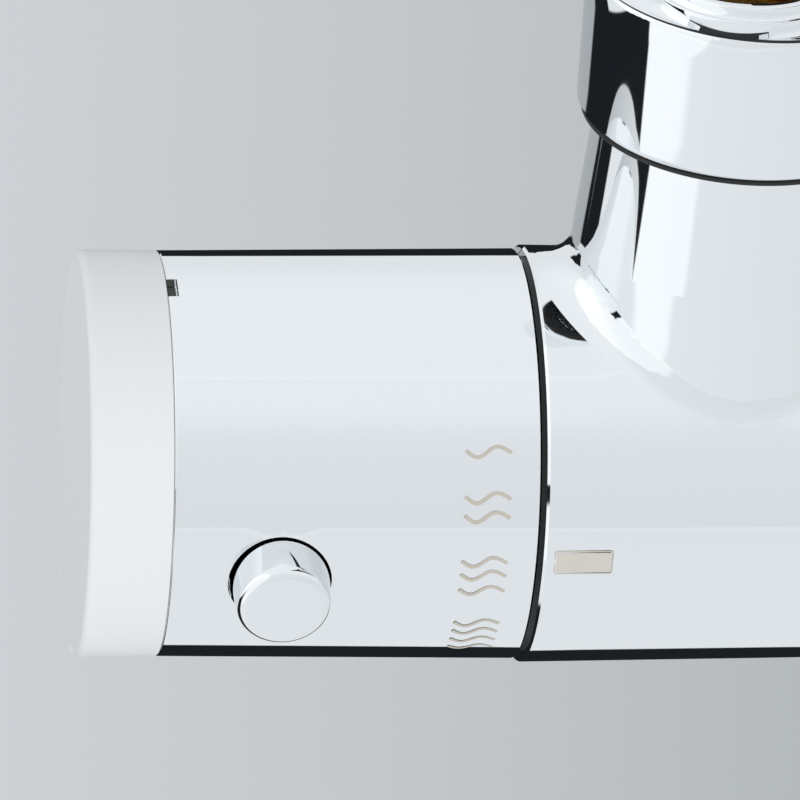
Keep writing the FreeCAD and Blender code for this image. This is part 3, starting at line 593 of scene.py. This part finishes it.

# floor: plain pale grey card, a little darker towards +X; the darkening is painted shade, the light
# falling off across the card
floor_bm = bmesh.new()
bmesh.ops.create_grid(floor_bm, x_segments=8, y_segments=8, size=4.0)
floor_mesh = bpy.data.meshes.new("floor")
floor_bm.to_mesh(floor_mesh)
floor_bm.free()
floor = bpy.data.objects.new("floor", floor_mesh)
floor.location = (0, 0, -0.34)
scene.collection.objects.link(floor)
card, tree, place = new_material("pale_grey_card_painted_falloff")
side = add(tree, "SeparateXYZ", {"Vector": place}, out="X")
share = add(tree, "MapRange", {"Value": side, "From Min": -0.13, "From Max": 0.12})
shade = add(tree, "ValToRGB", {"Fac": share})
ramp = shade.node.color_ramp
ramp.elements[0].color = linear("#d7dadd")
ramp.elements[1].color = linear("#b0b4b7")
ramp.elements.new(0.28).color = linear("#ced1d3")
ramp.elements.new(0.592).color = linear("#bfc3c6")
add(tree, "OutputMaterial", {"Surface": add(tree, "BsdfDiffuse", {"Color": shade})})
floor_mesh.materials.append(card)
floor.visible_glossy = False

# world: a white light tent for polished metal to reflect, with a black table opening below
# the part, the table's far end and a strip of grey paper across it; everything else gets one
# even pale light
world = bpy.data.worlds.new("light_tent")
scene.world = world
world.use_nodes = True
tree = world.node_tree
tree.nodes.clear()
ray = add(tree, "TexCoord", out="Generated")
level = {}
for word, direction in (("right", RIGHT), ("up", UP), ("back", BACK)):
    level[word] = add(tree, "VectorMath", {0: ray, 1: tuple(direction)}, out="Value",
                      operation="DOT_PRODUCT")

# straight edges of the tent's cloths: right, up and back shares, offset, softness
CLOTH_EDGES = {
    "table": [((0.714, -1.0, 0.0), 0.517, 0.02), ((-0.36, 0.7163, -0.6097), 0.0, 0.02)],
    "table_end": [((0.0, -1.8, -1.0), -0.05, 0.02), ((0.0, 0.0, -1.0), -0.51, 0.02),
                  ((-1.0, 0.0, 0.0), -0.66, 0.04)],
    "paper": [((0.0, 1.0, 0.0), 0.03, 0.02), ((0.0, -1.0, 0.0), 0.10, 0.02),
              ((1.0, 0.0, 0.0), 0.62, 0.04), ((-1.0, 0.0, 0.0), 0.04, 0.04),
              ((0.0, 0.0, -1.0), -0.25, 0.04)],
    "softbox": [((-1.0, 0.0, 0.56), -0.82, 0.05)],
}
cover = {}
for word, edges in CLOTH_EDGES.items():
    for (a, p, q), offset, soft in edges:
        normal = a * RIGHT + p * UP + q * BACK
        side = add(tree, "VectorMath", {0: ray, 1: tuple(normal)}, out="Value",
                   operation="DOT_PRODUCT")
        share = add(tree, "MapRange", {"Value": side, "From Min": -offset,
                                       "From Max": soft - offset},
                    interpolation_type="SMOOTHSTEP")
        if word in cover:
            share = add(tree, "Math", {0: cover[word], 1: share}, operation="MULTIPLY")
        cover[word] = share

# levels of the tent's panels by tilt from the front, with bright seams between them
PANEL_LEVELS = [(-180, 0.90), (-110, 0.93), (-60, 0.935), (-45.2, 0.93), (-43.8, 1.0),
                (-42.4, 0.885), (0, 0.915), (9, 0.935), (18, 0.985), (27, 1.02), (42.4, 1.02),
                (43.8, 1.08), (45.2, 1.02), (100, 1.02), (116, 0.99), (135, 0.91), (180, 0.86)]
TENT_TINT = (0.965, 0.99, 1.01)
tilt = add(tree, "Math", {0: level["up"], 1: level["back"]}, operation="ARCTAN2")
turned = add(tree, "MapRange", {"Value": tilt, "From Min": -math.pi, "From Max": math.pi})
panels = add(tree, "ValToRGB", {"Fac": turned})
ramp = panels.node.color_ramp
ramp.elements.remove(ramp.elements[1])
for number, (angle, light) in enumerate(PANEL_LEVELS):
    stop = ramp.elements[0] if number == 0 else ramp.elements.new((angle + 180) / 360)
    stop.color = (*(c * light for c in TENT_TINT), 1.0)

# the tent is a little brighter on the handle's side, and brighter still at the softbox
slope = add(tree, "MapRange", {"Value": level["right"], "From Min": -1.0, "From Max": 1.0,
                               "To Min": 1.05, "To Max": 0.95})
SOFTBOX_EXTRA = 0.21
lit = add(tree, "Math", {0: cover["softbox"], 1: SOFTBOX_EXTRA, 2: slope},
          operation="MULTIPLY_ADD")
tent = add(tree, "VectorMath", {0: panels, "Scale": lit}, operation="SCALE")
table = add(tree, "Math", {0: cover["table"], 1: cover["table_end"]}, operation="MAXIMUM")
TABLE_BLACK = (0.013, 0.015, 0.018, 1.0)
dark = add(tree, "Mix", {0: table, COLOUR_A: tent, COLOUR_B: TABLE_BLACK},
           out=MIXED, data_type="RGBA")
paper = add(tree, "Mix", {0: cover["paper"], COLOUR_A: dark, COLOUR_B: linear("#b0b4b7")},
            out=MIXED, data_type="RGBA")
mirrored = add(tree, "LightPath", out="Is Glossy Ray")
EVEN_LIGHT = (0.86, 0.87, 0.88, 1.0)
choice = add(tree, "Mix", {0: mirrored, COLOUR_A: EVEN_LIGHT, COLOUR_B: paper},
             out=MIXED, data_type="RGBA")
glow = add(tree, "Background", {"Color": choice, "Strength": 1.0})
add(tree, "OutputWorld", {"Surface": glow})

# one large soft lamp above, for a gentle shadow and shape on the matt pieces
lamp_data = bpy.data.lights.new("soft_lamp", "AREA")
lamp_data.shape = "DISK"
lamp_data.size = 0.9
lamp_data.energy = 2.2
lamp = bpy.data.objects.new("soft_lamp", lamp_data)
lamp.location = (-0.6, 0.5, 1.3)
aim = Vector((-0.1, -0.07, 0)) - Vector(lamp.location)
lamp.rotation_euler = aim.to_track_quat("-Z", "Y").to_euler()
lamp.visible_glossy = False
scene.collection.objects.link(lamp)
